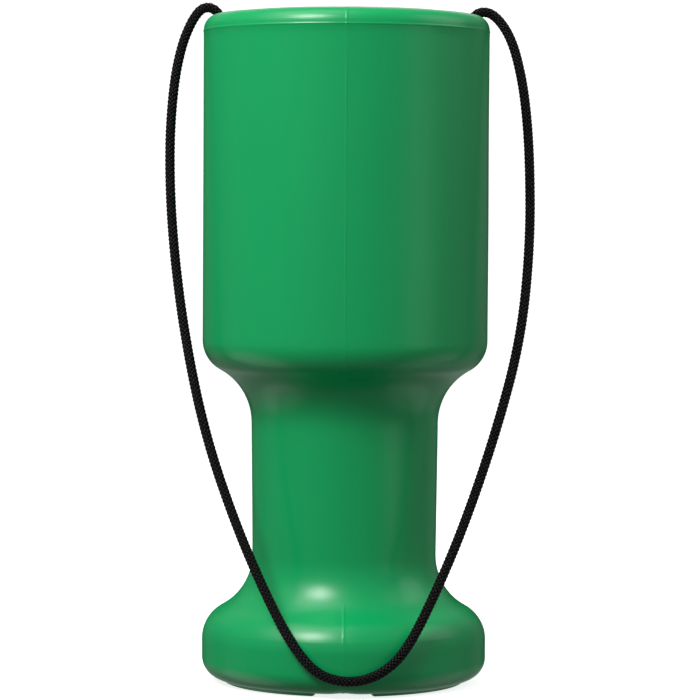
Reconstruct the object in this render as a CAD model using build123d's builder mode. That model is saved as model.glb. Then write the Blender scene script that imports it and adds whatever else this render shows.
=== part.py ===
from build123d import *

import os

# A hand-held collecting box: a one-piece blow-moulded bottle with a wide cup, a neck to grip
# and a flared base, a press-in lid with a coin slot, and a neck cord that is knotted inside
# two holes in the cup's shoulder.
#
# Millimetres, +Z up. The origin is on the floor under the middle of the base, the front faces
# -Y, and the cord's holes are on the X axis.

os.makedirs("parts", exist_ok=True)

# Bottle: the radius and height of each corner of its outline, and the fillet that rounds it
WALL = 1.4
SEAT_RADIUS, SEAT_Z, SEAT_FILLET = 40.3, 243.8, 0.6
CROWN_RADIUS, CROWN_Z, CROWN_FILLET = 41.4, 245.25, 1.6
CUP_RADIUS, SHOULDER_Z, SHOULDER_FILLET = 52.5, 244.85, 5.5
CUP_BOTTOM_Z, CUP_BOTTOM_FILLET = 118.4, 12.3
NECK_TOP_RADIUS, NECK_TOP_Z, NECK_TOP_FILLET = 34.47, 108.6, 22.3
NECK_BOTTOM_RADIUS, NECK_BOTTOM_Z, NECK_BOTTOM_FILLET = 33.76, 33.7, 22.3
BASE_RADIUS, BASE_TOP_Z, BASE_TOP_FILLET = 52.35, 23.6, 13.3
BASE_EDGE_Z, BASE_EDGE_FILLET = 3.8, 7.6
BOTTOM_RADIUS, BOTTOM_Z, BOTTOM_FILLET = 45.4, 0.9, 11.9
HOLLOW_RADIUS, HOLLOW_FILLET = 39.0, 2.5
HOLLOW_ROOF_RADIUS, HOLLOW_ROOF_Z, HOLLOW_ROOF_FILLET = 34.0, 4.4, 4.0
MOUTH_RADIUS, MOUTH_FILLET = 36.3, 0.4

# Foot ring, in two halves that stop short of the mould's parting line at the front and back
FOOT_INNER_RADIUS = 42.2
FOOT_OUTER_RADIUS = 44.0
FOOT_SLOPE = 1.2  # how much wider the ring is on each side at its root
FOOT_ROOT_Z = 1.5  # within the bottom's wall
FOOT_GAP_ANGLE = 27.6

# Lid
LID_RADIUS = 39.5
LID_TOP_Z = 245.9
LID_EDGE_FILLET = 0.5
SEAT_GAP = 0.05
PANEL_RADIUS = 33.0  # the lid's sunk middle
PANEL_DEPTH = 1.0
SKIRT_RADIUS = 35.9
SKIRT_WALL = 1.4
SKIRT_DEPTH = 10.0
SKIRT_LEAD_IN = 0.8
BEAD_RADIUS = 36.1  # the skirt's grip, which clears the mouth
BEAD_Z = 236.4
BEAD_HEIGHT = 1.6
SLOT_LENGTH = 42.0
SLOT_WIDTH = 6.0
COLLAR_WIDTH = 2.0  # the raised border of the coin slot
COLLAR_HEIGHT = 0.7
COLLAR_FILLET = 0.3

# Cord, its holes and its knots
CORD_DIAMETER = 3.5
HOLE_RADIUS = 2.6
HOLE_X = 47.1
HOLE_Z = 244.2
HOLE_TILT = 27.0  # how far the top of each hole leans outward
HOLE_DRILL_LENGTH = 8.0
ARC_SHARE = 0.45  # how much of the shorter run beside a corner its arc takes up
KNOT_RADIUS = 4.6
KNOT_NECK = 0.6
TAIL_LENGTH = 14.0

# The cord's route, from the left knot out over the cup's edge, down in front of the base, and
# up again to the right knot
CORD_ROUTE = [
    (-45.9, 0.0, 243.2),
    (-47.2, 0.0, 245.9),
    (-49.7, 0.0, 247.7),
    (-52.5, 0.0, 247.7),
    (-54.8, 0.0, 245.9),
    (-57.7, -0.1, 241.2),
    (-60.8, -0.8, 233.0),
    (-63.5, -2.2, 219.0),
    (-64.9, -4.6, 195.0),
    (-63.4, -9.5, 164.0),
    (-58.5, -16.8, 128.0),
    (-50.3, -25.5, 91.5),
    (-38.0, -34.5, 57.9),
    (-25.4, -45.4, 31.6),
    (-16.9, -52.3, 17.5),
    (-8.9, -54.5, 9.1),
    (1.7, -55.2, 6.4),
    (12.1, -54.2, 8.7),
    (21.2, -51.4, 15.8),
    (30.3, -45.0, 32.1),
    (42.2, -34.0, 58.1),
    (54.3, -25.0, 92.1),
    (63.9, -17.0, 126.9),
    (67.5, -9.5, 162.0),
    (67.3, -4.6, 194.0),
    (65.6, -2.2, 215.0),
    (62.9, -0.9, 229.0),
    (60.0, -0.2, 237.6),
    (56.4, 0.0, 243.2),
    (52.8, 0.0, 246.3),
    (49.3, 0.0, 246.7),
    (46.7, 0.0, 245.2),
    (45.6, 0.0, 242.9),
]


def tan_degrees(angle):
    """The tangent of an angle in degrees."""
    arm = Vector(1, 0, 0).rotate(Axis.Z, angle)
    return arm.Y / arm.X


def arc_radii(route):
    """The largest tangent arc that the shorter run beside each corner leaves room for."""
    points = [Vector(point) for point in route]
    radii = []
    for before, corner, after in zip(points, points[1:], points[2:]):
        half_turn = (corner - before).get_angle(after - corner) / 2
        shorter = min((corner - before).length, (after - corner).length)
        radii.append(ARC_SHARE * shorter / tan_degrees(half_turn))
    return radii


def inward(corners, radii, wall):
    """An outline that runs down its right side, drawn a wall's thickness further in."""
    points = [Vector(corner) for corner in corners]
    inner_corners = [(0, corners[0][1] - wall)]
    inner_radii = []
    for before, corner, after, radius in zip(points, points[1:], points[2:], radii):
        arriving = (corner - before).normalized()
        leaving = (after - corner).normalized()
        across = Vector(arriving.Y + leaving.Y, -arriving.X - leaving.X)
        place = corner + across * (wall / (1 + arriving.dot(leaving)))
        bulges = arriving.cross(leaving).Z < 0
        inner_corners.append((place.X, place.Y))
        inner_radii.append(radius - wall if bulges else radius + wall)
    inner_corners.append((0, corners[-1][1] + wall))
    return inner_corners, inner_radii


# The bottle's skin, from the middle of the lid's seat out over the cup's edge, and down to the
# hollow under the base
skin_corners = [
    (0, SEAT_Z),
    (SEAT_RADIUS, SEAT_Z),
    (CROWN_RADIUS, CROWN_Z),
    (CUP_RADIUS, SHOULDER_Z),
    (CUP_RADIUS, CUP_BOTTOM_Z),
    (NECK_TOP_RADIUS, NECK_TOP_Z),
    (NECK_BOTTOM_RADIUS, NECK_BOTTOM_Z),
    (BASE_RADIUS, BASE_TOP_Z),
    (BASE_RADIUS, BASE_EDGE_Z),
    (BOTTOM_RADIUS, BOTTOM_Z),
    (HOLLOW_RADIUS, BOTTOM_Z),
    (HOLLOW_ROOF_RADIUS, HOLLOW_ROOF_Z),
    (0, HOLLOW_ROOF_Z),
]
skin_radii = [
    SEAT_FILLET,
    CROWN_FILLET,
    SHOULDER_FILLET,
    CUP_BOTTOM_FILLET,
    NECK_TOP_FILLET,
    NECK_BOTTOM_FILLET,
    BASE_TOP_FILLET,
    BASE_EDGE_FILLET,
    BOTTOM_FILLET,
    HOLLOW_FILLET,
    HOLLOW_ROOF_FILLET,
]
cavity_corners, cavity_radii = inward(skin_corners, skin_radii, WALL)

# Bottle
with BuildPart() as body:
    # Skin
    with BuildSketch(Plane.XZ):
        with BuildLine():
            skin = FilletPolyline(*skin_corners, radius=skin_radii)
            Line(skin @ 1, skin @ 0)
        make_face()
    revolve(axis=Axis.Z)

    # Foot ring
    for gap_azimuth in (-90, 90):
        start = gap_azimuth + FOOT_GAP_ANGLE / 2
        with BuildSketch(Plane.XZ.rotated((0, 0, start))):
            with BuildLine():
                Polyline(
                    (FOOT_INNER_RADIUS - FOOT_SLOPE, FOOT_ROOT_Z),
                    (FOOT_INNER_RADIUS, 0),
                    (FOOT_OUTER_RADIUS, 0),
                    (FOOT_OUTER_RADIUS + FOOT_SLOPE, FOOT_ROOT_Z),
                    close=True,
                )
            make_face()
        revolve(axis=Axis.Z, revolution_arc=180 - FOOT_GAP_ANGLE)

    # Cavity
    with BuildSketch(Plane.XZ):
        with BuildLine():
            lining = FilletPolyline(*cavity_corners, radius=cavity_radii)
            Line(lining @ 1, lining @ 0)
        make_face()
    revolve(axis=Axis.Z, mode=Mode.SUBTRACT)

    # Mouth
    with BuildSketch(Plane.XY.offset(SEAT_Z)):
        Circle(MOUTH_RADIUS)
    extrude(amount=-2 * WALL, mode=Mode.SUBTRACT)
    fillet(body.edges(Select.LAST), MOUTH_FILLET)

    # Cord holes
    for side in (-1, 1):
        along = Vector(0, 0, 1).rotate(Axis.Y, side * HOLE_TILT)
        with BuildSketch(Plane(origin=(side * HOLE_X, 0, HOLE_Z), z_dir=along)):
            Circle(HOLE_RADIUS)
        extrude(amount=HOLE_DRILL_LENGTH / 2, both=True, mode=Mode.SUBTRACT)
body.part.label = "body"
export_step(body.part, "parts/body.step")

# Lid
with BuildPart() as lid:
    # Flange, which rests on the seat
    with BuildSketch(Plane.XY.offset(SEAT_Z + SEAT_GAP)):
        Circle(LID_RADIUS)
    extrude(amount=LID_TOP_Z - SEAT_Z - SEAT_GAP)
    with BuildSketch(Plane.XY.offset(LID_TOP_Z)):
        Circle(PANEL_RADIUS)
    extrude(amount=-PANEL_DEPTH, mode=Mode.SUBTRACT)
    rim_edges = lid.faces().sort_by(Axis.Z)[-1].edges()
    fillet(rim_edges, LID_EDGE_FILLET)

    # Skirt, which plugs the mouth
    with BuildSketch(Plane.XY.offset(SEAT_Z + SEAT_GAP)):
        Circle(SKIRT_RADIUS)
        Circle(SKIRT_RADIUS - SKIRT_WALL, mode=Mode.SUBTRACT)
    extrude(amount=-SKIRT_DEPTH)
    skirt_edge = lid.edges().filter_by(GeomType.CIRCLE).group_by(Axis.Z)[0].sort_by(SortBy.RADIUS)[-1]
    chamfer(skirt_edge, SKIRT_LEAD_IN)

    # Grip bead around the skirt
    with BuildSketch(Plane.XZ):
        with BuildLine():
            bead = ThreePointArc(
                (SKIRT_RADIUS, BEAD_Z - BEAD_HEIGHT / 2),
                (BEAD_RADIUS, BEAD_Z),
                (SKIRT_RADIUS, BEAD_Z + BEAD_HEIGHT / 2),
            )
            Polyline(
                bead @ 1,
                (SKIRT_RADIUS - SKIRT_WALL / 2, BEAD_Z + BEAD_HEIGHT / 2),
                (SKIRT_RADIUS - SKIRT_WALL / 2, BEAD_Z - BEAD_HEIGHT / 2),
                bead @ 0,
            )
        make_face()
    revolve(axis=Axis.Z)

    # Coin slot with its raised collar
    with BuildSketch(Plane.XY.offset(LID_TOP_Z - PANEL_DEPTH)):
        SlotOverall(SLOT_LENGTH + 2 * COLLAR_WIDTH, SLOT_WIDTH + 2 * COLLAR_WIDTH)
    extrude(amount=COLLAR_HEIGHT)
    collar_top = lid.faces(Select.LAST).sort_by(Axis.Z)[-1]
    fillet(collar_top.edges(), COLLAR_FILLET)
    with BuildSketch(Plane.XY.offset(LID_TOP_Z)):
        SlotOverall(SLOT_LENGTH, SLOT_WIDTH)
    extrude(amount=SEAT_Z - LID_TOP_Z - WALL, mode=Mode.SUBTRACT)
lid.part.label = "lid"
export_step(lid.part, "parts/lid.step")

# Cord
cord_radii = arc_radii(CORD_ROUTE)
with BuildPart() as cord:
    with BuildLine() as route:
        FilletPolyline(*CORD_ROUTE, radius=cord_radii)
    with BuildSketch(Plane(origin=route.line @ 0, z_dir=route.line % 0)):
        Circle(CORD_DIAMETER / 2)
    sweep(path=route.line)
cord.part.label = "cord"
export_step(cord.part, "parts/cord.step")

cord_length = route.wire().length
section = cord.part.volume / cord_length
print("cord arc radii:", [round(radius, 1) for radius in cord_radii])
print(f"cord length {cord_length:.1f}, volume {cord.part.volume:.1f}, which is {section:.3f} a millimetre")

# Knots at the cord's two ends
ends = {
    "cord_knot_left": (route.line @ 0, -(route.line % 0)),
    "cord_knot_right": (route.line @ 1, route.line % 1),
}
for name, (end, along) in ends.items():
    with BuildPart() as knot:
        with BuildSketch(Plane(origin=end, z_dir=along)):
            Circle(CORD_DIAMETER / 2)
        extrude(amount=TAIL_LENGTH)
        with Locations(end + along * (KNOT_NECK + KNOT_RADIUS)):
            Sphere(KNOT_RADIUS)
    knot.part.label = name
    export_step(knot.part, f"parts/{name}.step")
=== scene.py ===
"""The looks of a hand-held collecting box: a moulded body, a press-in lid and a braided neck cord."""
import logging
import math
import random
from collections.abc import Iterable, Sequence
from dataclasses import dataclass
from enum import Enum

import bmesh
import bpy
import numpy as np
from mathutils import Matrix, Vector


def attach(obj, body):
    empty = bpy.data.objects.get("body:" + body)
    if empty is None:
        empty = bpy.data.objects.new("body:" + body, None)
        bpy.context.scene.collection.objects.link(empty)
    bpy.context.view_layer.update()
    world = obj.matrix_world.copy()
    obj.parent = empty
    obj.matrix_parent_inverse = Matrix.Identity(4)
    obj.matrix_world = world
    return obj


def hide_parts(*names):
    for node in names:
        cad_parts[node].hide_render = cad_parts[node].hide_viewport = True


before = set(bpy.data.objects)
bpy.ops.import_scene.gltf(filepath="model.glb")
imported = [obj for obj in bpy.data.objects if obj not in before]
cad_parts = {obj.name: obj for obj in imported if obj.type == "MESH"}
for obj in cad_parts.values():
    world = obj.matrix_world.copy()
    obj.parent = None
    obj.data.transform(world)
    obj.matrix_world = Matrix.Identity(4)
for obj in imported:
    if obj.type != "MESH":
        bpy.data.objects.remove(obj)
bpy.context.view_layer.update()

log = logging.getLogger("collecting_box")

Colour = tuple[float, float, float]
MM = 0.001
SHORTEST_RUN = 0.05 * MM  # a straight run of an outline that is shorter than this is left out
POLE_WELD = 0.0001 * MM  # points of a turned skin that are nearer than this become one


# ---- Shader nodes ----
class Wire:
    """A node's output socket. Python's operators on it add Math nodes."""

    def __init__(self, sheet: "NodeSheet", socket: bpy.types.NodeSocket) -> None:
        """Keeps the socket and the sheet that it is on."""
        self.sheet = sheet
        self.socket = socket

    def math(self, operation: str, *values: "Wire | float") -> "Wire":
        """Adds a Math node.

        Args:
            operation: The Math node's operation, such as "ADD".
            values: What goes into its sockets, in their order.

        Returns:
            The node's result.
        """
        return self.sheet.node("ShaderNodeMath", {"operation": operation}, dict(enumerate(values)))

    def __add__(self, other: "Wire | float") -> "Wire":
        """Returns self + other."""
        return self.math("ADD", self, other)

    def __radd__(self, other: float) -> "Wire":
        """Returns other + self."""
        return self.math("ADD", other, self)

    def __sub__(self, other: "Wire | float") -> "Wire":
        """Returns self - other."""
        return self.math("SUBTRACT", self, other)

    def __rsub__(self, other: float) -> "Wire":
        """Returns other - self."""
        return self.math("SUBTRACT", other, self)

    def __mul__(self, other: "Wire | float") -> "Wire":
        """Returns self * other."""
        return self.math("MULTIPLY", self, other)

    def __rmul__(self, other: float) -> "Wire":
        """Returns other * self."""
        return self.math("MULTIPLY", other, self)

    def sine(self) -> "Wire":
        """Returns the sine of self, in radians."""
        return self.math("SINE", self)

    def smooth(self, low: float, high: float) -> "Wire":
        """Returns 0 below low and 1 above high, with a soft step between them."""
        settings = {"interpolation_type": "SMOOTHSTEP"}
        inputs = {"Value": self, "From Min": low, "From Max": high}
        return self.sheet.node("ShaderNodeMapRange", settings, inputs)


class NodeSheet:
    """A new material's node tree, with its Principled shader."""

    def __init__(self, name: str) -> None:
        """Makes the material with an empty tree, and puts in the shader and its output."""
        self.material = bpy.data.materials.new(name)
        self.material.use_nodes = True
        self.tree = self.material.node_tree
        self.tree.nodes.clear()
        self.shader = self.tree.nodes.new("ShaderNodeBsdfPrincipled")
        output = self.tree.nodes.new("ShaderNodeOutputMaterial")
        self.tree.links.new(self.shader.outputs["BSDF"], output.inputs["Surface"])

    def node(
        self,
        kind: str,
        settings: dict[str, object] | None = None,
        inputs: dict[str | int, object] | None = None,
        output: str | int = 0,
    ) -> Wire:
        """Adds a node.

        Args:
            kind: The node's type.
            settings: Its own settings, which are set first.
            inputs: The values or wires of its sockets, by name or number.
            output: The socket that is wanted from it.

        Returns:
            That output socket.
        """
        made = self.tree.nodes.new(kind)
        for name, value in (settings or {}).items():
            setattr(made, name, value)
        for name, value in (inputs or {}).items():
            self.feed(made.inputs[name], value)
        return Wire(self, made.outputs[output])

    def feed(self, socket: bpy.types.NodeSocket, value: object) -> None:
        """Links a wire to an input socket, or sets a plain value on it."""
        if isinstance(value, Wire):
            self.tree.links.new(value.socket, socket)
        else:
            socket.default_value = value

    def principled(self, **sockets: object) -> bpy.types.Material:
        """Sets the Principled shader's sockets, whose names are given with _ for a space.

        Returns:
            The finished material.
        """
        for name, value in sockets.items():
            self.feed(self.shader.inputs[name.replace("_", " ")], value)
        return self.material

    def place(self) -> Wire:
        """Returns the point on the object, in metres."""
        return self.node("ShaderNodeTexCoord", output="Object")

    def stretched(self, scale: tuple[float, float, float]) -> Wire:
        """Returns the point with each coordinate multiplied, for textures that run one way."""
        return self.node("ShaderNodeVectorMath", {"operation": "MULTIPLY"}, {0: self.place(), 1: scale})

    def noise(self, size: float, detail: float = 2.0, point: Wire | None = None) -> Wire:
        """Returns a noise from 0 to 1.

        Args:
            size: The size of its spots, in metres.
            detail: How many finer layers it has.
            point: Where it is read, if not at the point on the object.
        """
        inputs = {"Vector": point or self.place(), "Scale": 1 / size, "Detail": detail}
        return self.node("ShaderNodeTexNoise", {}, inputs)

    def mix(self, first: Colour | Wire, second: Colour | Wire, share: Wire | float) -> Wire:
        """Returns the colour that has this share of the second colour, and the rest of the first."""
        inputs = {0: share, 6: opaque(first), 7: opaque(second)}
        return self.node("ShaderNodeMix", {"data_type": "RGBA"}, inputs, output=2)

    def bump(self, height: Wire, strength: float, distance: float, under: Wire | None = None) -> Wire:
        """Returns a normal that follows a height.

        Args:
            height: The height, in units of distance.
            strength: How much of it shows.
            distance: The height's unit, in metres.
            under: A normal from another bump, which this one lies on.
        """
        inputs = {"Strength": strength, "Distance": distance, "Height": height}
        if under is not None:
            inputs["Normal"] = under
        return self.node("ShaderNodeBump", {}, inputs)


def opaque(colour: Colour | Wire) -> object:
    """Returns a plain colour with its alpha, and a wire as it is."""
    return colour if isinstance(colour, Wire) else (*colour, 1.0)


# ---- Finishes ----
@dataclass(frozen=True)
class MouldedPlastic:
    """Moulded polyethylene: satin, with a fine grain, slight flow marks and rubbed spots."""

    name: str
    colour: Colour
    deep: Colour
    rubbed: Colour
    roughness: float
    cloud_size: float = 55.0 * MM
    cloud_share: float = 0.35
    flow_scale: tuple[float, float, float] = (190.0, 190.0, 14.0)
    flow_share: float = 0.22
    scuff_size: float = 3.2 * MM
    scuff_patch: float = 30.0 * MM
    scuff_share: float = 0.10
    peel_size: float = 2.1 * MM
    peel_strength: float = 0.10
    peel_height: float = 0.06 * MM
    grain_size: float = 0.22 * MM
    grain_strength: float = 0.10
    grain_height: float = 0.02 * MM
    subsurface: float = 0.0
    subsurface_depth: float = 1.0 * MM

    def material(self) -> bpy.types.Material:
        """Makes the material."""
        sheet = NodeSheet(self.name)
        clouds = sheet.noise(self.cloud_size, 3.0)
        flow = sheet.noise(1.0, 2.0, sheet.stretched(self.flow_scale))
        mottle = clouds.smooth(0.35, 0.75) * self.cloud_share + flow.smooth(0.4, 0.8) * self.flow_share
        scuffs = sheet.noise(self.scuff_size, 5.0).smooth(0.60, 0.74)
        scuffs = scuffs * sheet.noise(self.scuff_patch, 1.0).smooth(0.52, 0.66)
        colour = sheet.mix(self.colour, self.deep, mottle)
        colour = sheet.mix(colour, self.rubbed, scuffs * self.scuff_share)
        roughness = self.roughness + (clouds - 0.5) * 0.10 + (flow - 0.5) * 0.05 + scuffs * 0.07
        peel = sheet.bump(sheet.noise(self.peel_size, 1.0), self.peel_strength, self.peel_height)
        grain = sheet.noise(self.grain_size, 2.0)
        normal = sheet.bump(grain, self.grain_strength, self.grain_height, under=peel)
        return sheet.principled(
            Base_Color=colour,
            Roughness=roughness,
            Normal=normal,
            IOR=1.5,
            Subsurface_Weight=self.subsurface,
            Subsurface_Scale=self.subsurface_depth,
        )


@dataclass(frozen=True)
class BraidedPolyester:
    """Black multifilament yarn: each strand shows its fine filaments along it, and is painted lighter where
    it rides high, as a painted glint on its crests.
    """

    name: str = "braided_polyester"
    colour: Colour = (0.0006, 0.0005, 0.0005)
    # painted glint: the lighter colour that the high crests get in place of their highlights
    painted_glint_colour: Colour = (0.0140, 0.0125, 0.0130)
    filaments: float = 11.0
    filament_strength: float = 0.12
    filament_height: float = 0.02 * MM
    wander_size: float = 0.9 * MM
    tone_size: float = 1.3 * MM
    roughness: float = 0.20
    gloss: float = 0.09

    def material(self) -> bpy.types.Material:
        """Makes the material, which reads how high each yarn rides and the way round it, and paints the
        high crests lighter as a glint.
        """
        sheet = NodeSheet(self.name)
        lay = sheet.node("ShaderNodeUVMap", {"uv_map": "yarn"})
        rise = sheet.node("ShaderNodeSeparateXYZ", inputs={"Vector": lay}, output="X")
        round_yarn = sheet.node("ShaderNodeSeparateXYZ", inputs={"Vector": lay}, output="Y")
        wander = sheet.noise(self.wander_size, 2.0)
        thread = ((round_yarn * self.filaments + wander * 0.8) * (2 * math.pi)).sine()
        tone = sheet.noise(self.tone_size, 3.0).smooth(0.35, 0.7)
        # Painted glint: the yarn's colour goes lighter where it rides high, standing in for the highlights
        # on its crests
        colour = sheet.mix(self.colour, self.painted_glint_colour, rise.smooth(0.2, 1.0) * (0.6 + tone * 0.4))
        normal = sheet.bump(thread, self.filament_strength, self.filament_height)
        return sheet.principled(
            Base_Color=colour,
            Roughness=self.roughness + tone * 0.1,
            Normal=normal,
            IOR=1.5,
            Specular_IOR_Level=self.gloss,
        )


class Finish(Enum):
    """The finishes that the object's pieces take."""

    BODY = MouldedPlastic(
        name="green_polyethylene",
        colour=(0.0, 0.380, 0.108),
        deep=(0.0, 0.350, 0.097),
        rubbed=(0.030, 0.420, 0.150),
        roughness=0.32,
    )
    LID = MouldedPlastic(
        name="natural_polyethylene",
        colour=(0.60, 0.59, 0.54),
        deep=(0.50, 0.48, 0.43),
        rubbed=(0.70, 0.69, 0.66),
        roughness=0.38,
        subsurface=0.1,
    )
    CORD = BraidedPolyester()


# ---- Mesh helpers ----
@dataclass(frozen=True)
class Corner:
    """A corner of a turned outline: its radius and height, and the radius that rounds it."""

    radius: float
    height: float
    rounding: float = 0.0


def unit(vector: np.ndarray) -> np.ndarray:
    """Returns a vector, or each row of an array, at length 1."""
    return vector / np.linalg.norm(vector, axis=-1, keepdims=True)


def divided(start: np.ndarray, end: np.ndarray, step: float) -> list[np.ndarray]:
    """Returns points from start to just before end, no more than a step apart."""
    pieces = max(1, math.ceil(np.linalg.norm(end - start) / step))
    return [start + (end - start) * k / pieces for k in range(pieces)]


def rounded(corners: Sequence[Corner], step: float, arc_step: float) -> np.ndarray:
    """Rounds an outline's corners and divides it into short pieces.

    Args:
        corners: The corners, of which the first and the last are the outline's ends.
        step: The longest piece of a straight run, in metres.
        arc_step: The most that one piece of an arc turns, in radians.

    Returns:
        The outline's points, as rows of radius and height.
    """
    places = [np.array((corner.radius, corner.height)) for corner in corners]
    line: list[np.ndarray] = []
    last = places[0]
    for before, here, after, corner in zip(places, places[1:], places[2:], corners[1:]):
        back, ahead = unit(before - here), unit(after - here)
        half = math.acos(float(np.clip(back @ ahead, -1, 1))) / 2
        start = here + back * corner.rounding / math.tan(half)
        centre = here + unit(back + ahead) * corner.rounding / math.sin(half)
        turn = math.copysign(math.pi - 2 * half, float(back[1] * ahead[0] - back[0] * ahead[1]))
        pieces = max(2, math.ceil(abs(turn) / arc_step))
        if np.linalg.norm(start - last) > SHORTEST_RUN:
            line += divided(last, start, step)
        for k in range(pieces):
            c, s = math.cos(turn * k / pieces), math.sin(turn * k / pieces)
            arm = start - centre
            line.append(centre + np.array((c * arm[0] - s * arm[1], s * arm[0] + c * arm[1])))
        last = here + ahead * corner.rounding / math.tan(half)
    return np.array(line + divided(last, places[-1], step) + [places[-1]])


def outward(line: np.ndarray) -> np.ndarray:
    """Returns the outline's normals, to the right of the way that it runs."""
    way = unit(np.gradient(line, axis=0))
    return np.stack((way[:, 1], -way[:, 0]), axis=1)


def bell(distance: np.ndarray, width: float) -> np.ndarray:
    """Returns 1 at no distance, falling softly to about nothing at a width."""
    return np.exp(-((2.0 * distance / width) ** 2))


def soft_step(value: np.ndarray, low: float, high: float) -> np.ndarray:
    """Returns 0 below low and 1 above high, with a soft step between them."""
    t = np.clip((value - low) / (high - low), 0.0, 1.0)
    return t * t * (3.0 - 2.0 * t)


def turns(count: int) -> np.ndarray:
    """Returns this many angles, evenly spaced round a full turn."""
    return np.linspace(0.0, 2 * math.pi, count + 1)[:-1]


def swept(line: Iterable[Sequence[float]], angles: np.ndarray) -> np.ndarray:
    """Returns a ring of points for each radius and height of a line, at these angles round +Z."""
    return np.array([[(r * math.cos(a), r * math.sin(a), z) for a in angles] for r, z in line])


def new_piece(name: str, mesh: bpy.types.Mesh, finish: Finish) -> bpy.types.Object:
    """Links a smooth-shaded piece to the scene in its finish."""
    mesh.polygons.foreach_set("use_smooth", [True] * len(mesh.polygons))
    mesh.materials.append(MATERIALS[finish])
    piece = bpy.data.objects.new(name, mesh)
    bpy.context.scene.collection.objects.link(piece)
    return piece


def turned(rings: np.ndarray, closed: bool = True) -> bmesh.types.BMesh:
    """Joins rings of points, each with as many points as the next, into a turned skin.

    Args:
        rings: The points, as rings x points x 3. The first and the last ring may lie on the axis.
        closed: Whether each ring's last point joins its first.
    """
    made = bmesh.new()
    grid = [[made.verts.new(point) for point in ring] for ring in rings]
    for low, high in zip(grid, grid[1:]):
        for k in range(len(low) if closed else len(low) - 1):
            m = (k + 1) % len(low)
            made.faces.new((low[k], low[m], high[m], high[k]))
    bmesh.ops.remove_doubles(made, verts=made.verts, dist=POLE_WELD)
    return made


def as_mesh(name: str, made: bmesh.types.BMesh) -> bpy.types.Mesh:
    """Turns a bmesh into a mesh and frees it."""
    bmesh.ops.recalc_face_normals(made, faces=made.faces)
    mesh = bpy.data.meshes.new(name)
    made.to_mesh(mesh)
    made.free()
    return mesh


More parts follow.
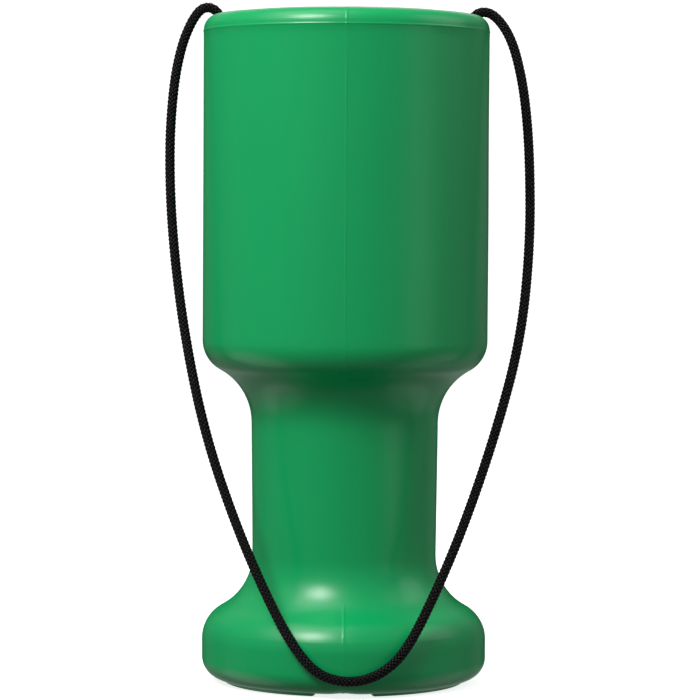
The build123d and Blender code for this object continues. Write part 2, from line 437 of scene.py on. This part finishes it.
# ---- Body ----
@dataclass(frozen=True)
class MouldedBody:
    """The blow-moulded body: base, neck and cup in one, with the marks of its mould."""

    wall: float = 1.4 * MM
    mouth_radius: float = 36.3 * MM
    mouth_rounding: float = 0.4 * MM
    lip: float = 1.6 * MM
    foot_inner: float = 42.2 * MM
    foot_outer: float = 44.0 * MM
    foot_slope: float = 0.7 * MM
    foot_gap: float = math.radians(27.6)
    foot_end: float = math.radians(1.5)
    foot_rows: int = 13
    foot_top: float = 3.0 * MM
    foot_zone: float = 40.0 * MM
    bottom_level: float = 0.95 * MM
    bottom_reach: float = 50.0 * MM
    hole_x: float = 47.1 * MM
    hole_z: float = 244.2 * MM
    hole_radius: float = 2.6 * MM
    hole_tilt: float = math.radians(27.0)
    hole_flare: float = 0.35 * MM
    hole_reach: float = 4.0 * MM
    hole_rise: float = 0.75 * MM
    hole_sides: int = 48
    crisp_angle: float = math.radians(30.0)
    weld: float = 0.001 * MM
    seam_height: float = 0.15 * MM
    seam_width: float = 0.85 * MM
    seam_start: float = 10.0 * MM
    seam_full: float = 16.0 * MM
    seam_stop: float = 4.2 * MM
    seam_beats: tuple[tuple[float, float], ...] = ((61.0, 0.7), (173.0, 2.0))
    jog: float = 0.15 * MM
    jog_z: float = 22.0 * MM
    jog_run: float = 0.8 * MM
    bead_z: float = 239.05 * MM
    bead_height: float = 0.17 * MM
    bead_width: float = 0.75 * MM
    bead_rows: int = 9
    bead_reach: float = 0.6
    groove_height: float = 0.015 * MM
    wall_radius: float = 46.0 * MM
    pinch_depth: float = 0.40 * MM
    pinch_width: float = 7.0 * MM
    pinch_top: float = 4.5 * MM
    pinch_full: float = 1.2 * MM
    pinch_inner: float = 39.0 * MM
    waviness: float = 0.045 * MM
    wavy_radius: float = 30.0 * MM
    step: float = 4.0 * MM
    arc_step: float = math.radians(5.0)
    row_gap: float = 0.02 * MM
    inside_skips: int = 3
    # From a seam to a quarter turn away: up to each angle, the columns' spacing, in degrees
    column_spans: tuple[tuple[float, float], ...] = (
        (1.0, 0.125),
        (3.0, 0.5),
        (17.0, 0.7),
        (84.0, 2.233),
        (90.0, 0.75),
    )
    corners: tuple[Corner, ...] = (
        Corner(0.0, 4.4 * MM),
        Corner(34.0 * MM, 4.4 * MM, 4.0 * MM),
        Corner(39.0 * MM, 0.9 * MM, 2.5 * MM),
        Corner(45.4 * MM, 0.9 * MM, 11.9 * MM),
        Corner(52.35 * MM, 3.8 * MM, 7.6 * MM),
        Corner(52.35 * MM, 23.6 * MM, 13.3 * MM),
        Corner(33.76 * MM, 33.7 * MM, 22.0 * MM),
        Corner(34.47 * MM, 108.6 * MM, 22.3 * MM),
        Corner(52.5 * MM, 118.4 * MM, 12.3 * MM),
        Corner(52.5 * MM, 244.85 * MM, 5.5 * MM),
        Corner(41.4 * MM, 245.25 * MM, 1.6 * MM),
        Corner(40.3 * MM, 243.8 * MM, 0.6 * MM),
        Corner(38.0 * MM, 243.8 * MM),
    )
    mould_lines: tuple[float, ...] = (3.3 * MM, 5.6 * MM, 20.4 * MM)

    def angles(self) -> np.ndarray:
        """Returns the columns' angles from the front seam, close at the seams, foot gaps and cord holes."""
        quarter = [0.0]
        for end, step in self.column_spans:
            start = quarter[-1]
            count = round((end - start) / step)
            quarter += [start + (end - start) * (k + 1) / count for k in range(count)]
        front = [-angle for angle in reversed(quarter[1:])] + quarter
        back = [180.0 - angle for angle in reversed(quarter[:-1])]
        back += [180.0 + angle for angle in quarter[1:-1]]
        return np.radians(np.array(front + back))

    def outer_line(self) -> np.ndarray:
        """Returns the outside outline, from the base's middle to the mouth, with rows for fine details."""
        line = rounded(self.corners, self.step, self.arc_step)
        rows = [line]
        for height in (self.bead_z, *self.mould_lines):
            for offset in np.linspace(-self.bead_reach, self.bead_reach, self.bead_rows) * self.bead_width:
                rows.append(self.row_at(line, height + float(offset)))
        foot = (self.foot_inner - self.foot_slope, self.foot_outer + self.foot_slope)
        for radius in np.linspace(*foot, self.foot_rows):
            rows.append(self.bottom_row(line, float(radius)))
        return self.in_order(line, np.concatenate(rows))

    def row_at(self, line: np.ndarray, height: float) -> np.ndarray:
        """Returns the point of the outside wall at a height."""
        wall = line[np.argmax(line[:, 1] < self.bottom_level):]
        wall = wall[wall[:, 0] > self.foot_outer]
        wall = wall[: np.argmax(wall[:, 1]) + 1]
        return np.array([[np.interp(height, wall[:, 1], wall[:, 0]), height]])

    def bottom_row(self, line: np.ndarray, radius: float) -> np.ndarray:
        """Returns the point of the underside at a radius."""
        under = line[: np.argmax(line[:, 0] > self.bottom_reach)]
        return np.array([[radius, np.interp(radius, under[:, 0], under[:, 1])]])

    def in_order(self, line: np.ndarray, rows: np.ndarray) -> np.ndarray:
        """Returns rows sorted by how far along the line they lie, without near doubles."""
        lengths = np.concatenate(([0.0], np.cumsum(np.linalg.norm(np.diff(line, axis=0), axis=1))))
        starts, ways = line[:-1], np.diff(line, axis=0)
        spans = np.linalg.norm(ways, axis=1)
        reach = np.clip(((rows[:, None] - starts) * ways).sum(-1) / spans**2, 0.0, 1.0)
        gap = np.linalg.norm(starts + ways * reach[..., None] - rows[:, None], axis=-1)
        nearest = gap.argmin(axis=1)
        along = lengths[nearest] + reach[np.arange(len(rows)), nearest] * spans[nearest]
        order = np.argsort(along, kind="stable")
        keep = np.concatenate(([True], np.diff(along[order]) > self.row_gap))
        return rows[order][keep]

    def relief(self, line: np.ndarray, angles: np.ndarray) -> np.ndarray:
        """Returns how far each point stands proud of the plain turned shape.

        Args:
            line: The outside outline.
            angles: The columns' angles from the front seam.

        Returns:
            The heights, as rows of the outline x columns.
        """
        radius, height = line[:, :1], line[:, 1:]
        from_seam = np.abs((angles + math.pi / 2) % math.pi - math.pi / 2)
        outside = soft_step(radius, self.seam_start, self.seam_full)
        outside = outside * (radius > self.mouth_radius + self.seam_stop)
        below = soft_step(-height, -self.jog_z - self.jog_run / 2, -self.jog_z + self.jog_run / 2)
        seam = self.seam_height * bell(radius * from_seam - self.jog * below, self.seam_width) * outside
        strength = 0.6 + 0.4 * math.prod(np.sin(height * rate + start) for rate, start in self.seam_beats)
        marks = self.bead_height * bell(height - self.bead_z, self.bead_width)
        for level in self.mould_lines:
            marks = marks + self.groove_height * bell(height - level, self.bead_width)
        marks = marks * (radius > self.wall_radius)
        return seam * strength + marks + self.waves(height, angles) * (radius > self.wavy_radius)

    def waves(self, height: np.ndarray, angles: np.ndarray) -> np.ndarray:
        """Returns the blown wall's long shallow waves, which meet themselves round the body."""
        slow = np.sin(angles * 3 + height * 34.0) * np.sin(height * 52.0 + 1.3 + angles)
        quick = np.sin(angles * 7 - height * 71.0 + 2.1)
        return self.waviness * (slow + 0.5 * quick)

    def points(self, angles: np.ndarray) -> np.ndarray:
        """Returns the rings of the body's skin, up the outside and down the inside."""
        line = self.outer_line()
        normals = outward(line)
        relief = self.relief(line, angles)
        radius = line[:, :1] + normals[:, :1] * relief
        height = line[:, 1:] + normals[:, 1:] * relief
        height = self.with_feet(radius, height, angles)
        inside = (line - normals * self.wall)[::-1]
        inside = np.concatenate((inside[: -1 : self.inside_skips], inside[-1:]))
        plain = np.concatenate((self.rim(line[-1, 1], inside[0, 1]), inside[1:]))
        radius = np.concatenate((radius, np.repeat(plain[:, :1], len(angles), axis=1)))
        height = np.concatenate((height, np.repeat(plain[:, 1:], len(angles), axis=1)))
        return np.stack((radius * np.sin(angles), -radius * np.cos(angles), height), axis=-1)

    def rim(self, top: float, under: float) -> np.ndarray:
        """Returns the mouth's rounded edge, from the seat's height to its underside's."""
        mouth, lip = self.mouth_radius, self.mouth_radius + self.lip
        corners = (
            Corner(lip, top),
            Corner(mouth, top, self.mouth_rounding),
            Corner(mouth, under, self.mouth_rounding),
            Corner(lip, under),
        )
        return rounded(corners, self.step, self.arc_step * 4)

    def with_feet(self, radius: np.ndarray, height: np.ndarray, angles: np.ndarray) -> np.ndarray:
        """Lowers the foot ring's halves to the ground, and lifts the underside where the mould pinches."""
        from_seam = np.abs((angles + math.pi / 2) % math.pi - math.pi / 2)
        ring = soft_step(radius, self.foot_inner - self.foot_slope, self.foot_inner)
        ring = ring * (1 - soft_step(radius, self.foot_outer, self.foot_outer + self.foot_slope))
        ends = ((self.foot_gap - self.foot_end) / 2, (self.foot_gap + self.foot_end) / 2)
        halves = soft_step(from_seam, *ends)
        low = (height < self.foot_top) & (radius > self.foot_zone)
        pinch = self.pinch_depth * bell(radius * from_seam, self.pinch_width)
        pinch = pinch * soft_step(-height, -self.pinch_top, -self.pinch_full) * (radius > self.pinch_inner)
        return np.where(low, height * (1 - ring * halves), height) + pinch * (1 - halves)

    def hole_cutter(self, side: int) -> bpy.types.Object:
        """Makes the tool that cuts a cord hole through the crown, with a slight flare at its top.

        Args:
            side: 1 for the hole on the right, -1 for the one on the left.
        """
        wide = self.hole_radius + self.hole_flare
        line = (
            (0.0, -self.hole_reach),
            (self.hole_radius, -self.hole_reach),
            (self.hole_radius, self.hole_rise - self.hole_flare),
            (wide, self.hole_rise + self.hole_flare / 2),
            (wide, self.hole_reach),
            (0.0, self.hole_reach),
        )
        mesh = as_mesh("hole_cutter", turned(swept(line, turns(self.hole_sides))))
        cutter = bpy.data.objects.new("hole_cutter", mesh)
        bpy.context.scene.collection.objects.link(cutter)
        tilt = Matrix.Rotation(side * self.hole_tilt, 4, "Y")
        cutter.matrix_world = Matrix.Translation((side * self.hole_x, 0, self.hole_z)) @ tilt
        return cutter

    def clean_cuts(self, mesh: bpy.types.Mesh) -> None:
        """Welds the near doubles that the cuts leave, and keeps the shading crisp at the cord holes' edges.

        Args:
            mesh: The body's mesh, with its cord holes cut.
        """
        made = bmesh.new()
        made.from_mesh(mesh)
        bmesh.ops.remove_doubles(made, verts=made.verts, dist=self.weld)
        hole = Vector((self.hole_x, 0.0, self.hole_z))
        for edge in made.edges:
            middle = (edge.verts[0].co + edge.verts[1].co) / 2
            away = (Vector((abs(middle.x), middle.y, middle.z)) - hole).length
            if away < 2 * self.hole_radius and edge.calc_face_angle(0.0) > self.crisp_angle:
                edge.smooth = False
        made.to_mesh(mesh)
        made.free()

    def build(self) -> bpy.types.Object:
        """Makes the body, which stands for its CAD node."""
        mesh = as_mesh("body_shell", turned(self.points(self.angles())))
        body = new_piece("body_shell", mesh, Finish.BODY)
        cutters = [self.hole_cutter(side) for side in (-1, 1)]
        for cutter in cutters:
            cut = body.modifiers.new("cord hole", "BOOLEAN")
            cut.object = cutter
            cut.operation = "DIFFERENCE"
            cut.solver = "EXACT"
        settle(body)
        for cutter in cutters:
            bpy.data.objects.remove(cutter)
        self.clean_cuts(body.data)
        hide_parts("body")
        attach(body, "box")
        report(body)
        return body


def settle(piece: bpy.types.Object) -> None:
    """Applies a piece's modifiers to its mesh."""
    depsgraph = bpy.context.evaluated_depsgraph_get()
    mesh = bpy.data.meshes.new_from_object(piece.evaluated_get(depsgraph))
    piece.modifiers.clear()
    piece.data = mesh


def report(piece: bpy.types.Object) -> None:
    """Logs a finished piece."""
    faces = len(piece.data.polygons) if piece.type == "MESH" else 0
    log.info("%s: %d faces", piece.name, faces)


# ---- Lid ----
@dataclass(frozen=True)
class PressInLid:
    """The slotted lid, whose shape is the CAD node's own."""

    node: str = "lid"

    def dress(self) -> None:
        """Gives the lid its finish."""
        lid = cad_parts[self.node]
        for place in lid.material_slots:
            place.material = MATERIALS[Finish.LID]
        report(lid)


# ---- Cord ----
# The cord's control points: out of the left hole, down past the base's front, up to the right hole
ROUTE = (
    (-0.0459, 0, 0.2432),
    (-0.0472, 0, 0.2459),
    (-0.0497, 0, 0.2477),
    (-0.0525, 0, 0.2477),
    (-0.0548, 0, 0.2459),
    (-0.0577, -0.0001, 0.2412),
    (-0.0608, -0.0008, 0.2330),
    (-0.0635, -0.0022, 0.2190),
    (-0.0649, -0.0046, 0.1950),
    (-0.0634, -0.0095, 0.1640),
    (-0.0585, -0.0168, 0.1280),
    (-0.0503, -0.0255, 0.0915),
    (-0.0380, -0.0345, 0.0579),
    (-0.0254, -0.0454, 0.0316),
    (-0.0169, -0.0523, 0.0175),
    (-0.0089, -0.0545, 0.0091),
    (0.0017, -0.0552, 0.0064),
    (0.0121, -0.0542, 0.0087),
    (0.0212, -0.0514, 0.0158),
    (0.0303, -0.0450, 0.0321),
    (0.0422, -0.0340, 0.0581),
    (0.0543, -0.0250, 0.0921),
    (0.0639, -0.0170, 0.1269),
    (0.0675, -0.0095, 0.1620),
    (0.0673, -0.0046, 0.1940),
    (0.0656, -0.0022, 0.2150),
    (0.0629, -0.0009, 0.2290),
    (0.0600, -0.0002, 0.2376),
    (0.0564, 0, 0.2432),
    (0.0528, 0, 0.2463),
    (0.0493, 0, 0.2467),
    (0.0467, 0, 0.2452),
    (0.0456, 0, 0.2429),
)


def nurbs(name: str, points: Iterable[Sequence[float]], bevel: float = 0.0) -> bpy.types.Object:
    """Makes a smooth open curve whose control points these are.

    Args:
        name: The curve's name.
        points: The control points, in metres.
        bevel: The radius of the round section that it gets, or 0 for none.
    """
    curve = bpy.data.curves.new(name, "CURVE")
    curve.dimensions = "3D"
    curve.resolution_u = 24
    curve.bevel_depth = bevel
    curve.use_fill_caps = bevel > 0
    spline = curve.splines.new("NURBS")
    places = list(points)
    spline.points.add(len(places) - 1)
    for point, place in zip(spline.points, places):
        point.co = (*place, 1.0)
    spline.order_u = 3
    spline.use_endpoint_u = True
    made = bpy.data.objects.new(name, curve)
    bpy.context.scene.collection.objects.link(made)
    return made


def centreline(points: Iterable[Sequence[float]]) -> np.ndarray:
    """Returns the points of the smooth curve that has these control points."""
    line = nurbs("centreline", points)
    mesh = bpy.data.meshes.new_from_object(line)
    places = np.array([vertex.co for vertex in mesh.vertices])
    bpy.data.objects.remove(line)
    bpy.data.meshes.remove(mesh)
    return places


@dataclass
class Track:
    """A line with a steady frame along it, for yarns and fibres to be laid round."""

    points: np.ndarray
    ways: np.ndarray
    sides: np.ndarray
    ups: np.ndarray
    lengths: np.ndarray

    @classmethod
    def along(cls, line: np.ndarray, spacing: float) -> "Track":
        """Makes a track with even spacing along a line, and carries its frame along without a twist.

        Args:
            line: The line's points.
            spacing: The distance from one of the track's points to the next, in metres.
        """
        gone = np.concatenate(([0.0], np.cumsum(np.linalg.norm(np.diff(line, axis=0), axis=1))))
        lengths = np.linspace(0.0, gone[-1], max(2, round(gone[-1] / spacing)) + 1)
        points = np.stack([np.interp(lengths, gone, line[:, k]) for k in range(3)], axis=1)
        ways = unit(np.gradient(points, axis=0))
        sides = np.zeros_like(points)
        side = unit(np.cross(ways[0], (0.0, 1.0, 0.0)))
        for k, way in enumerate(ways):
            side = unit(side - way * float(side @ way))
            sides[k] = side
        return cls(points, ways, sides, np.cross(ways, sides), lengths)

    def around(self, angle: np.ndarray) -> np.ndarray:
        """Returns the direction away from the line at each point, at an angle round it."""
        return np.cos(angle)[:, None] * self.sides + np.sin(angle)[:, None] * self.ups


class Hand(Enum):
    """Which way a yarn winds round the cord."""

    LEFT = -1
    RIGHT = 1


@dataclass(frozen=True)
class Braid:
    """A round braid: half of its yarns wind each way, and each goes over one and under the next."""

    yarns: int = 6
    pitch: float = 9.24 * MM
    radius: float = 1.38 * MM
    lift: float = 0.24 * MM
    flatness: float = 1.2
    width: float = 0.98 * MM
    thickness: float = 0.56 * MM
    sides: int = 7
    rings_per_crossing: int = 3

    def spacing(self) -> float:
        """Returns the distance between the rings of a yarn, measured along the cord."""
        return self.pitch / (2 * self.yarns) / self.rings_per_crossing

    def yarn(self, track: Track, hand: Hand, place: int) -> tuple[np.ndarray, np.ndarray]:
        """Lays one yarn along a track.

        Args:
            track: The cord's own line.
            hand: Which way the yarn winds.
            place: Its number among the yarns of that hand.

        Returns:
            Its points, as rings x sides x 3, and how high each ring rides, from -1 to 1.
        """
        turn = hand.value * 2 * math.pi * track.lengths / self.pitch + 2 * math.pi * place / self.yarns
        over = hand.value * np.tanh(self.flatness * np.cos(self.yarns * turn)) / math.tanh(self.flatness)
        away = track.around(turn)
        middle = track.points + away * (self.radius + self.lift * over)[:, None]
        way = unit(np.gradient(middle, axis=0))
        across = unit(np.cross(way, away))
        up = np.cross(across, way)
        half_width = self.width / 2 * (0.93 + 0.07 * over)
        half_height = self.thickness / 2 * (1.0 - 0.08 * over)
        rings = []
        for side in range(self.sides):
            angle = 2 * math.pi * (side + 0.25) / self.sides
            rings.append(
                middle
                + across * (half_width * math.cos(angle))[:, None]
                + up * (half_height * math.sin(angle))[:, None]
            )
        points = np.stack(rings, axis=1)
        return points, over

    def weave(self, name: str, track: Track, hand: Hand) -> bpy.types.Object:
        """Makes the yarns of one hand along a track, as one piece."""
        return strands(name, [self.yarn(track, hand, place) for place in range(self.yarns)])


def strands(name: str, laid: Sequence[tuple[np.ndarray, np.ndarray]]) -> bpy.types.Object:
    """Makes one piece of closed strands, with coordinates for how high they ride and round each of them.

    Args:
        name: The piece's name.
        laid: For each strand its points, as rings x sides x 3, and how high each ring rides, from -1 to 1.
    """
    vertices, faces, marks = [], [], []
    for points, rise in laid:
        rings, sides = points.shape[:2]
        first = sum(len(block) for block in vertices)
        vertices.append(points.reshape(-1, 3))
        numbers = first + np.arange(rings * sides).reshape(rings, sides)
        low, high = numbers[:-1], numbers[1:]
        quads = np.stack((low, np.roll(low, -1, 1), np.roll(high, -1, 1), high), axis=-1).reshape(-1, 4)
        faces += quads.tolist() + [numbers[0][::-1].tolist(), numbers[-1].tolist()]
        turn = np.arange(sides + 1) / sides
        for ring in range(rings - 1):
            for side in range(sides):
                marks += [
                    (rise[ring], turn[side]),
                    (rise[ring], turn[side + 1]),
                    (rise[ring + 1], turn[side + 1]),
                    (rise[ring + 1], turn[side]),
                ]
        marks += [(rise[0], 0.0)] * sides + [(rise[-1], 0.0)] * sides
    mesh = bpy.data.meshes.new(name)
    mesh.from_pydata(np.concatenate(vertices).tolist(), [], faces)
    layer = mesh.uv_layers.new(name="yarn")
    layer.data.foreach_set("uv", np.array(marks, np.float32).ravel())
    return new_piece(name, mesh, Finish.CORD)


@dataclass(frozen=True)
class OverhandKnot:
    """The knot that stops an end of the cord in its hole, with a short tail."""

    braid: Braid
    size: float = 1.75 * MM
    tail: float = 5.0 * MM
    drop: float = 1.5 * MM
    overlap: float = 0.2 * MM
    reach: float = 2.02
    steps: int = 27
    stretch: float = 0.30
    breadth: float = 0.97
    depth: float = 0.88
    level: float = 1.8
    half_length: float = 4.5
    core_radius: float = 1.25 * MM
    core_sides: int = 8

    def line(self, end: np.ndarray, along: np.ndarray) -> np.ndarray:
        """Returns the knotted line, a trefoil in powers of t whose two ends are gathered onto one axis.

        Args:
            end: The point where the cord goes into the knot.
            along: The direction that it goes in there.
        """
        side = np.array((0.0, 1.0, 0.0))
        other = np.cross(along, side)
        t = np.linspace(-self.reach, self.reach, self.steps)
        gather = 1 - (t / self.reach) ** 6
        forward = self.stretch * (t**5 - 10 * t)
        sideways = self.breadth * (t**3 - 3 * t) * gather
        across = (self.depth * (t**4 - 4 * t**2) + self.level) * gather
        middle = end + along * (self.size * self.half_length + self.drop)
        points = [end - along * self.overlap, end + along * self.drop * 0.5, end + along * self.drop]
        for a, b, c in zip(forward, sideways, across):
            points.append(middle + self.size * (along * a + side * b + other * c))
        last = points[-1]
        points += [last + along * self.tail * 0.5, last + along * self.tail]
        return centreline(points)

    def build(self, side: str, end: np.ndarray, along: np.ndarray) -> bpy.types.Object:
        """Makes the knot on one side as one piece of yarns round a core."""
        track = Track.along(self.line(end, along), self.braid.spacing())
        laid = [self.braid.yarn(track, hand, place) for hand in Hand for place in range(self.braid.yarns)]
        count = len(track.points)
        ways = [track.around(np.full(count, angle)) for angle in turns(self.core_sides)]
        core = np.stack([track.points + way * self.core_radius for way in ways], axis=1)
        knot = strands(f"overhand_knot_{side}", [*laid, (core, np.full(count, -1.0))])
        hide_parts(f"cord_knot_{side}")
        return knot


@dataclass(frozen=True)
class NeckCord:
    """The cord: a core, twelve braided yarns, the loose fibres on them, and a knot at each end."""

    diameter: float = 3.5 * MM
    length: float = 0.559
    core_radius: float = 1.25 * MM
    core_smoothness: int = 3
    seed: int = 7
    fibres: int = 420
    fibre_radius: float = 0.012 * MM
    fibre_points: int = 5
    fibre_lengths: tuple[float, float] = (0.15 * MM, 0.7 * MM)
    fibre_root: float = 0.44
    fibre_curl: float = 0.35
    end_clearance: int = 20
    tuft: tuple[float, float, float] = (-50.6 * MM, 0.0, 249.4 * MM)
    tuft_fibres: int = 26
    tuft_lengths: tuple[float, float] = (0.5 * MM, 1.3 * MM)
    tuft_spread: int = 5
    braid: Braid = Braid()

    def build(self) -> list[bpy.types.Object]:
        """Makes the cord and everything on it."""
        core = nurbs("cord_core", ROUTE, bevel=self.core_radius)
        core.data.bevel_resolution = self.core_smoothness
        core.data.materials.append(MATERIALS[Finish.CORD])
        track = Track.along(centreline(ROUTE), self.braid.spacing())
        yarns = [self.braid.weave(f"cord_yarns_{hand.name.lower()}", track, hand) for hand in Hand]
        fuzz = self.fuzz(track)
        knot = OverhandKnot(self.braid)
        knots = [
            knot.build("left", track.points[0], -track.ways[0]),
            knot.build("right", track.points[-1], track.ways[-1]),
        ]
        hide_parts("cord")
        pieces = [core, *yarns, fuzz, *knots]
        for piece in pieces:
            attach(piece, "box")
            report(piece)
        return pieces

    def fuzz(self, track: Track) -> bpy.types.Object:
        """Makes the loose fibres that stand off the braid. The first are a small tuft on the left bend."""
        draw = random.Random(self.seed)
        laid = []
        count = len(track.points)
        tuft = int(np.linalg.norm(track.points - np.array(self.tuft), axis=1).argmin())
        steps = np.linspace(0.0, 1.0, self.fibre_points)[:, None]
        for number in range(self.fibres):
            if number < self.tuft_fibres:
                at = tuft + draw.randint(-self.tuft_spread, self.tuft_spread)
                draw.random()  # not used, but it keeps every later fibre where it is
                reach = draw.uniform(*self.tuft_lengths)
                away = np.array((0.0, 0.0, 1.0))
            else:
                at = draw.randrange(self.end_clearance, count - self.end_clearance)
                angle = draw.uniform(0, 2 * math.pi)
                reach = draw.uniform(*self.fibre_lengths)
                away = track.around(np.full(count, angle))[at]
            lean = track.ways[at] * draw.uniform(-1.0, 1.0) + track.sides[at] * draw.uniform(-0.4, 0.4)
            root = track.points[at] + away * self.diameter * self.fibre_root
            curl = np.array([draw.uniform(-1, 1) for _ in range(3)]) * self.fibre_curl
            line = root + reach * (away * steps + lean * steps**2 + curl * steps**3)
            laid.append(self.fibre(line))
        return strands("cord_fibres", laid)

    def fibre(self, line: np.ndarray) -> tuple[np.ndarray, np.ndarray]:
        """Returns one fibre as a thin three-sided strand that narrows to its tip."""
        way = unit(line[-1] - line[0])
        side = unit(np.cross(way, (0.31, 0.52, 0.79)))
        up = np.cross(way, side)
        radii = self.fibre_radius * np.linspace(1.0, 0.5, len(line))[:, None]
        rings = [line + radii * (side * math.cos(a) + up * math.sin(a)) for a in turns(3)]
        # A fibre counts as riding fully high, so it takes the yarn's painted glint colour all along.
        return np.stack(rings, axis=1), np.ones(len(line))


# ---- Studio ----
@dataclass(frozen=True)
class Softbox:
    """A round soft light that faces the object."""

    name: str
    azimuth: float
    elevation: float
    watts: float
    size: float
    distance: float = 1.2
    aim_z: float = 0.12

    def build(self) -> None:
        """Makes the light. Azimuth is in degrees from the front, positive to the right."""
        light = bpy.data.lights.new(self.name, "AREA")
        light.shape = "DISK"
        light.size = self.size
        light.energy = self.watts
        lamp = bpy.data.objects.new(self.name, light)
        bpy.context.scene.collection.objects.link(lamp)
        around, up = math.radians(self.azimuth), math.radians(self.elevation)
        aim = Vector((0, 0, self.aim_z))
        way = Vector((math.sin(around) * math.cos(up), -math.cos(around) * math.cos(up), math.sin(up)))
        lamp.location = aim + way * self.distance
        lamp.rotation_euler = (-way).to_track_quat("-Z", "Y").to_euler()


@dataclass(frozen=True)
class Studio:
    """The floor, the backdrop, the lights and the camera."""

    eye: tuple[float, float, float] = (0.0, -1.181, 0.168)
    aim: tuple[float, float, float] = (0.00181, 0.0, 0.12213)
    lens: float = 164.8
    sensor: float = 36.0
    lean: float = math.radians(0.31)
    lights: tuple[Softbox, ...] = (
        Softbox("key", -34.0, 45.0, 10.3, size=0.46),
        Softbox("high_left", -60.0, 70.0, 3.5, size=0.85),
        Softbox("side_left", -60.0, 45.0, 1.9, size=0.85),
        Softbox("back_left", -138.0, 2.0, 0.22, size=0.85),
        Softbox("low_left", -100.0, -42.0, 1.7, size=0.95),
        Softbox("fill_right", 60.0, 0.0, 0.36, size=0.50),
        Softbox("side_right", 90.0, 34.0, 2.2, size=0.90),
        Softbox("back_right", 135.0, 2.0, 0.34, size=0.85),
        Softbox("low_right", 100.0, -42.0, 1.1, size=0.95),
        Softbox("back_high", 180.0, 34.0, 0.9, size=0.80),
        Softbox("back_low", 180.0, -26.0, 0.3, size=0.80),
    )
    ambient: float = 0.278
    view_reach: float = 20.0
    floor_radius: float = 2.2
    floor_glow: float = 0.80
    wall_bend: float = 0.6
    wall_height: float = 3.0
    cloth_radius: float = 2.0
    cloth_spread: float = math.radians(65.0)
    cloth_heights: tuple[float, float] = (-0.4, 0.8)
    cloth_shade: Colour = (0.004, 0.004, 0.004)
    table_radius: float = 0.8
    table_z: float = -0.004
    table_shade: Colour = (0.07, 0.07, 0.07)

    def camera(self) -> None:
        """Makes the camera, and makes it the scene's own."""
        data = bpy.data.cameras.new("camera")
        data.lens = self.lens
        data.sensor_width = self.sensor
        data.clip_end = self.view_reach
        camera = bpy.data.objects.new("camera", data)
        bpy.context.scene.collection.objects.link(camera)
        way = Vector(self.aim) - Vector(self.eye)
        turn = way.to_track_quat("-Z", "Y").to_matrix().to_4x4()
        camera.matrix_world = Matrix.Translation(self.eye) @ turn @ Matrix.Rotation(self.lean, 4, "Z")
        bpy.context.scene.camera = camera

    def world(self) -> None:
        """Makes the soft light that comes from all round."""
        world = bpy.data.worlds.new("studio")
        world.use_nodes = True
        background = world.node_tree.nodes["Background"]
        background.inputs["Color"].default_value = (1.0, 1.0, 1.0, 1.0)
        background.inputs["Strength"].default_value = self.ambient
        bpy.context.scene.world = world

    def floor(self) -> None:
        """Makes the pale floor, which curves up all round into a backdrop."""
        bends = np.linspace(0.0, math.pi / 2, 17)
        line = [(0.0, 0.0)]
        for angle in bends:
            radius = self.floor_radius - self.wall_bend + self.wall_bend * math.sin(angle)
            line.append((radius, self.wall_bend - self.wall_bend * math.cos(angle)))
        line.append((self.floor_radius, self.wall_height))
        sheet = NodeSheet("pale_floor")
        tone = sheet.mix((0.80, 0.80, 0.80), (0.84, 0.84, 0.84), sheet.noise(0.3))
        material = sheet.principled(
            Base_Color=tone,
            Roughness=0.9,
            Emission_Color=(1.0, 1.0, 1.0, 1.0),
            Emission_Strength=self.floor_glow,
        )
        floor = self.prop("studio_floor", swept(line, turns(96)), material)
        floor.visible_diffuse = False
        floor.visible_glossy = False
        floor.visible_shadow = False

    def backing(self) -> None:
        """Makes the dark cloth behind the object that its edges reflect, which nothing else sees."""
        behind = math.pi / 2
        angles = np.linspace(behind + self.cloth_spread, behind - self.cloth_spread, 25)
        rings = swept([(self.cloth_radius, height) for height in self.cloth_heights], angles)
        cloth = self.prop("dark_cloth", rings, self.dull("dark_cloth", self.cloth_shade), closed=False)
        cloth.visible_camera = False
        cloth.visible_diffuse = False
        cloth.visible_shadow = False

    def table(self) -> None:
        """Makes the dull table top under the floor, which dims the light that comes from below."""
        rings = swept([(radius, self.table_z) for radius in (0.0, self.table_radius)], turns(48))
        table = self.prop("dull_table", rings, self.dull("dull_table", self.table_shade))
        table.visible_camera = False
        table.visible_glossy = False
        table.visible_shadow = False

    def dull(self, name: str, shade: Colour) -> bpy.types.Material:
        """Makes a material of one shade with no gloss."""
        return NodeSheet(name).principled(Base_Color=opaque(shade), Roughness=1.0, Specular_IOR_Level=0.0)

    def prop(
        self, name: str, rings: np.ndarray, material: bpy.types.Material, closed: bool = True
    ) -> bpy.types.Object:
        """Makes a piece of the studio from rings of points.

        Args:
            name: Its name.
            rings: The points, as rings x points x 3.
            material: Its material.
            closed: Whether each ring's last point joins its first.
        """
        made = turned(rings, closed)
        mesh = bpy.data.meshes.new(name)
        made.to_mesh(mesh)
        made.free()
        mesh.polygons.foreach_set("use_smooth", [True] * len(mesh.polygons))
        mesh.materials.append(material)
        piece = bpy.data.objects.new(name, mesh)
        bpy.context.scene.collection.objects.link(piece)
        return piece

    def build(self) -> None:
        """Makes the whole studio."""
        bpy.context.scene.view_settings.view_transform = "Standard"
        self.camera()
        self.world()
        self.floor()
        self.backing()
        self.table()
        for light in self.lights:
            light.build()
        log.info("studio: %d lights", len(self.lights))


# ---- The whole object ----
MATERIALS: dict[Finish, bpy.types.Material] = {}


def main() -> None:
    """Builds the studio and every piece."""
    logging.basicConfig(level=logging.INFO, format="%(message)s")
    for finish in Finish:
        MATERIALS[finish] = finish.value.material()
    Studio().build()
    NeckCord().build()
    MouldedBody().build()
    PressInLid().dress()


if __name__ == "__main__":
    main()
